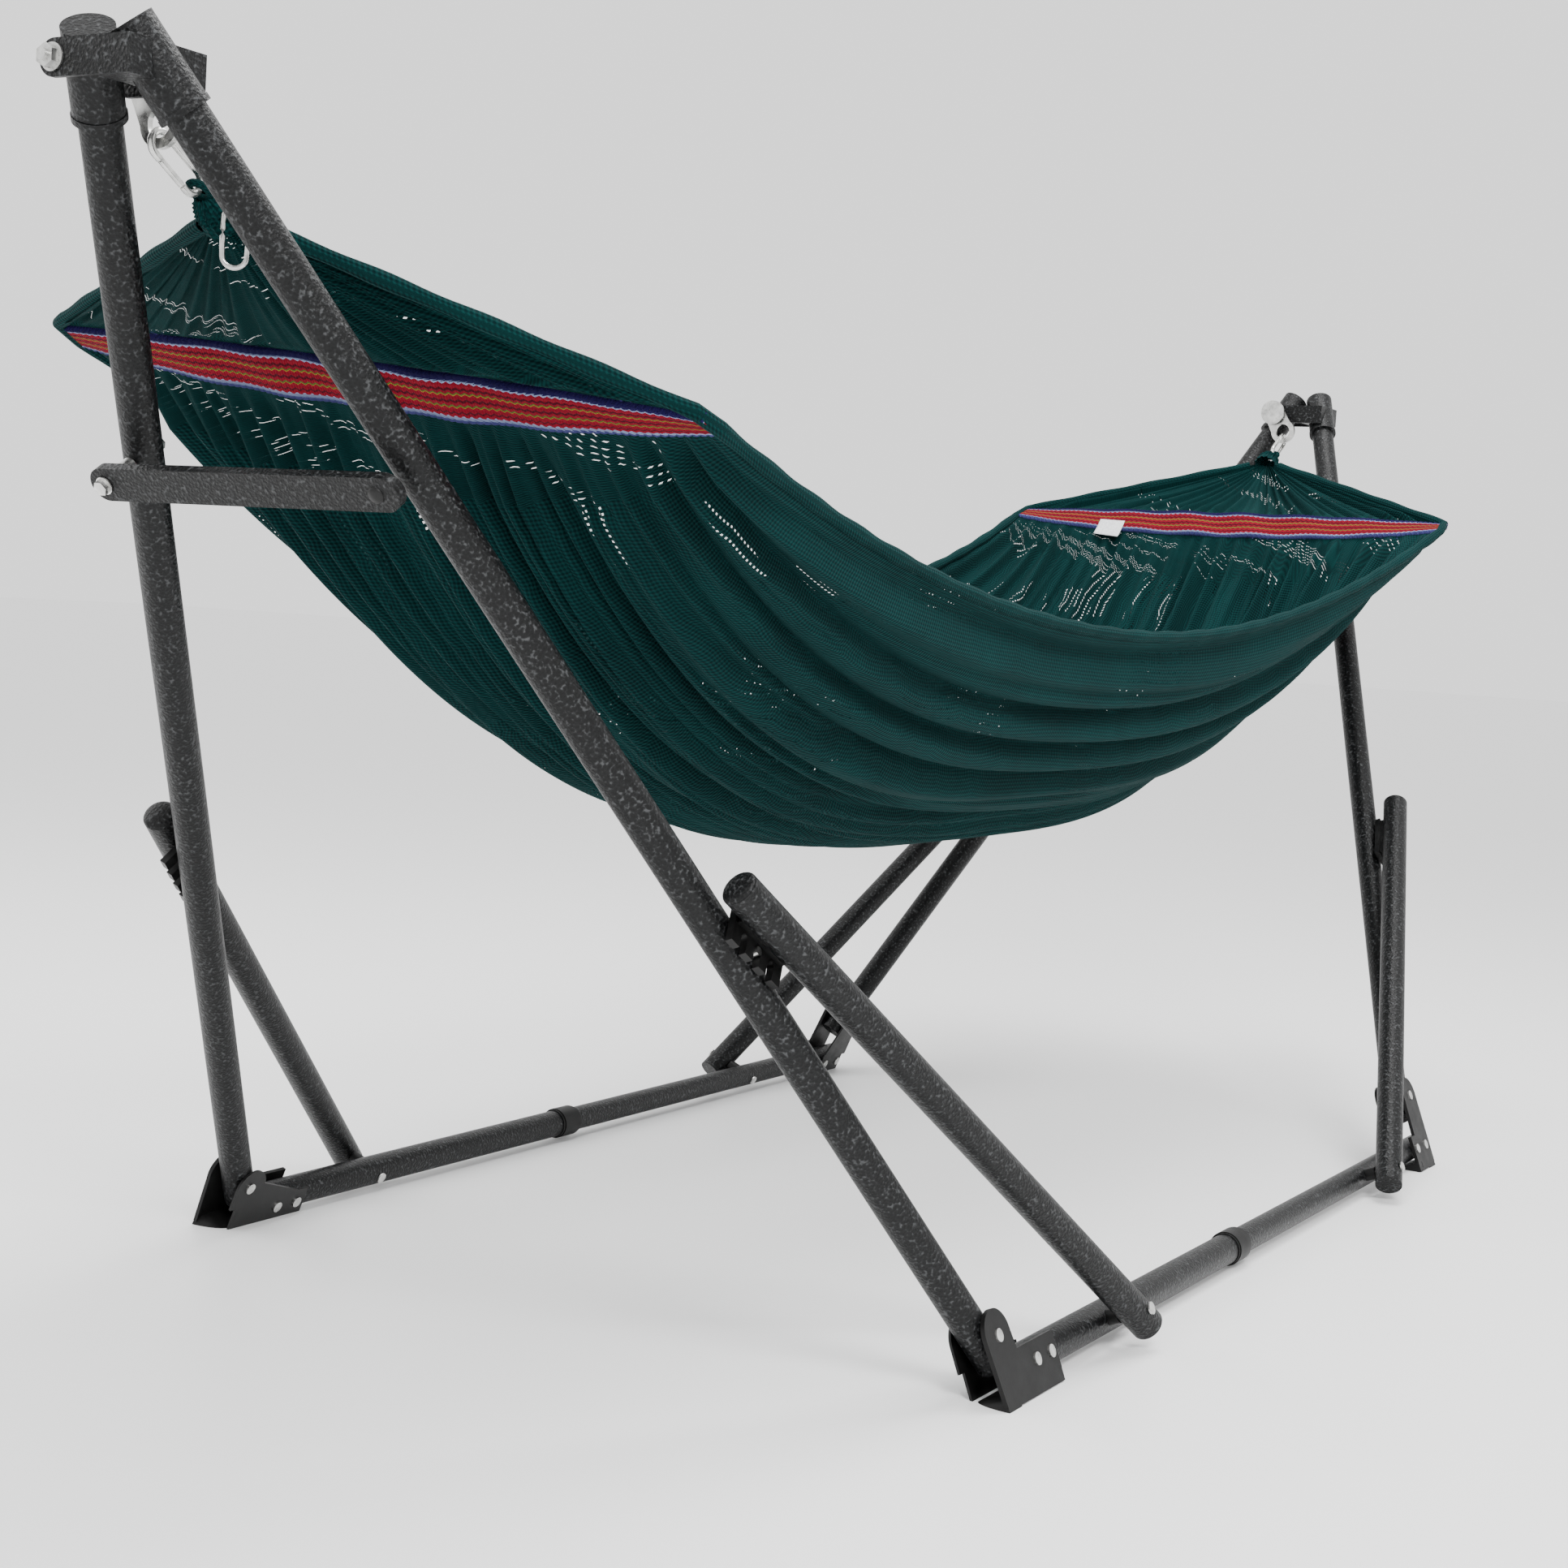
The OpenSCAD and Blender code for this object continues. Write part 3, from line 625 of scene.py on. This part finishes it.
def make_neck(name, end):
    """The bound neck, where every lengthwise thread meets: a ribbed roll of cloth with cord turns."""
    pull = math.radians(32)
    across = np.array([0.0, 1.0, 0.0])
    inward = np.array([-end * math.cos(pull), 0, -math.sin(pull)])
    over = np.cross(inward, across)
    centre = np.array([end * FAN_X, MID_Y, FAN_Z + 1 * MM]) - 30 * MM * inward
    s = np.linspace(-4 * MM, 32 * MM, 60)[:, None]
    angle = np.linspace(0, 2 * math.pi, 96, endpoint=False)[None, :]
    places = np.array([-4, 0, 8, 28, 32]) * MM
    radii = np.array([8, 12, 16.5, 19.5, 19.5]) * MM
    ribs = 1 * MM * np.cos(14 * angle) + 0.6 * MM * np.cos(31 * angle + 40 * s)
    turn_pitch, turns_middle, turns_reach = 4.2 * MM, 9 * MM, 9.5 * MM
    turns = 1.6 * MM * np.clip(np.cos(s * 2 * math.pi / turn_pitch), 0, 1)
    turns = turns * (np.abs(s - turns_middle) < turns_reach)
    ring = across * np.cos(angle)[..., None] + over * np.sin(angle)[..., None]
    grid = centre + inward * s[..., None] + ring * (np.interp(s, places, radii) + ribs + turns)[..., None]
    uv = np.stack(np.broadcast_arrays(s, angle * 18 * MM), -1)
    neck = grid_piece(name + "_bound_neck", grid, CLOSE_KNIT, uv, closed_across=True)
    attach(neck, name + "_gather_wrap")
    # The loop of doubled cloth that the carabiner passes through
    turn = np.linspace(0, 2 * math.pi, 60)
    loop_r = 10.2 * MM
    start = centre - inward * 9.5 * MM
    loop = start + np.outer(np.cos(turn) * loop_r, -inward) + np.outer(np.sin(turn) * loop_r, across)
    tube_piece(name + "_neck_loop", loop, 3.6 * MM, CLOSE_KNIT)


def make_label():
    """The blank tag sewn to the far band, placed by shares of the band's half length and width."""
    rows = np.linspace(0, 1, 8)[:, None]
    cols = np.linspace(0, 1, 14)[None, :]
    v = 0.46 + 0.12 * cols
    x = BAND_X - BAND_W * (0.1 + 0.9 * rows)
    grid = bed_point(*np.broadcast_arrays(x, v))
    normal = normals_of(grid)
    lift = 6 * MM + 4 * MM * squared(rows)
    grid = grid + np.sign(normal[..., 2:3]) * normal * lift[..., None]
    uv = np.stack(np.broadcast_arrays(rows, cols), -1)
    tag = grid_piece("blank_tag", grid, LABEL, uv)
    thicken(tag, 0.8 * MM, -1)
    attach(tag)


# ---------------------------------------------------------------- small hard pieces
def lathe_piece(name, profile, place, axis, body, slot, sides=32):
    """A round piece about axis through place, from (radius, height) pairs."""
    turn = Vector((0, 0, 1)).rotation_difference(Vector(axis).normalized()).to_matrix()
    angle = np.linspace(0, 2 * math.pi, sides, endpoint=False)
    rings = np.array([[[radius * math.cos(a), radius * math.sin(a), height] for a in angle]
                      for radius, height in profile])
    grid = rings @ np.array(turn).T + np.array(place)
    uv = np.zeros(grid.shape[:2] + (2,))
    obj = grid_piece(name, grid, MATERIALS[slot], uv, closed_across=True)
    attach(obj, body=body)


def dome(radius, height):
    """The profile of a low dome, from its rim to its top."""
    steps = np.linspace(0, math.pi / 2, 9)
    return [(radius, 0)] + [(max(radius * math.cos(a), 0.1 * MM), height * math.sin(a)) for a in steps]


def lean_of(name):
    """How far a leg leans along X for each metre up its own frame."""
    return MAST_LEAN / (MAST_RISE - PIVOT_RISE[name])


def make_strut_domes():
    """The low domes on the caps at the struts' upper ends."""
    run = FOOT_X + (STRUT_RISE - PIVOT_RISE["near"]) * lean_of("near") - STRUT_X
    reach = math.hypot(run, STRUT_RISE)
    for end_name, end in ENDS:
        for side_name, side in SIDES:
            outward = Vector((0, side * math.cos(TILT), math.sin(TILT)))
            up = Vector((0, -side * math.sin(TILT), math.cos(TILT)))
            along = (Vector((end * run, 0, 0)) + up * STRUT_RISE) / reach
            base = Vector((end * STRUT_X, side * HALF_WIDTH, RAIL_Z)) + outward * STRUT_OFFSET
            place = base + along * (reach + 3.95 * MM)
            strut = f"{end_name}_{side_name}_strut"
            lathe_piece(strut + "_dome", dome(18.8 * MM, 6.5 * MM), place, along, strut, "hammertone_paint")


def make_brace_studs():
    """The black stud heads on the braces' right ends."""
    for name, end in ENDS:
        slope = math.atan(lean_of(name) / math.cos(TILT))
        low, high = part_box(name + "_brace")
        outward = Vector((end * math.cos(slope), 0, -math.sin(slope)))
        middle = (low + high) / 2
        place = Vector((middle.x, low.y + 25 * MM, middle.z)) + outward * 5.2 * MM
        lathe_piece(name + "_brace_stud", dome(8.5 * MM, 4 * MM), place, outward,
                    name + "_brace", "black_steel")


def make_spare_carabiner():
    """The spare oval link that hangs from the near gather."""
    low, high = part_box("near_gather_wrap")
    turn = np.linspace(0, 2 * math.pi, 72)
    length, width = 30 * MM, 11.5 * MM
    across = np.array([0.5, -0.86, 0.0])
    centre = np.array([(low.x + high.x) / 2 + 4 * MM, MID_Y - 26 * MM, (low.z + high.z) / 2 - 20 * MM])
    straight = np.sign(np.sin(turn)) * (length - width) * np.clip(np.abs(np.sin(turn)) * 3, 0, 1)
    path = centre + np.outer(np.cos(turn) * width, across)
    path[:, 2] += np.sin(turn) * width + straight
    tube_piece("spare_carabiner", path, 2.4 * MM, MATERIALS["zinc_steel"], sides=12)


make_camera()
make_stage()
finish_cad_nodes()
bed = make_bed()
panels = [make_end_panel(name, end) for name, end in ENDS]
make_rims()
bands = [make_band(name, end) for name, end in ENDS]
for name, end in ENDS:
    make_neck(name, end)
make_label()
make_strut_domes()
make_brace_studs()
make_spare_carabiner()
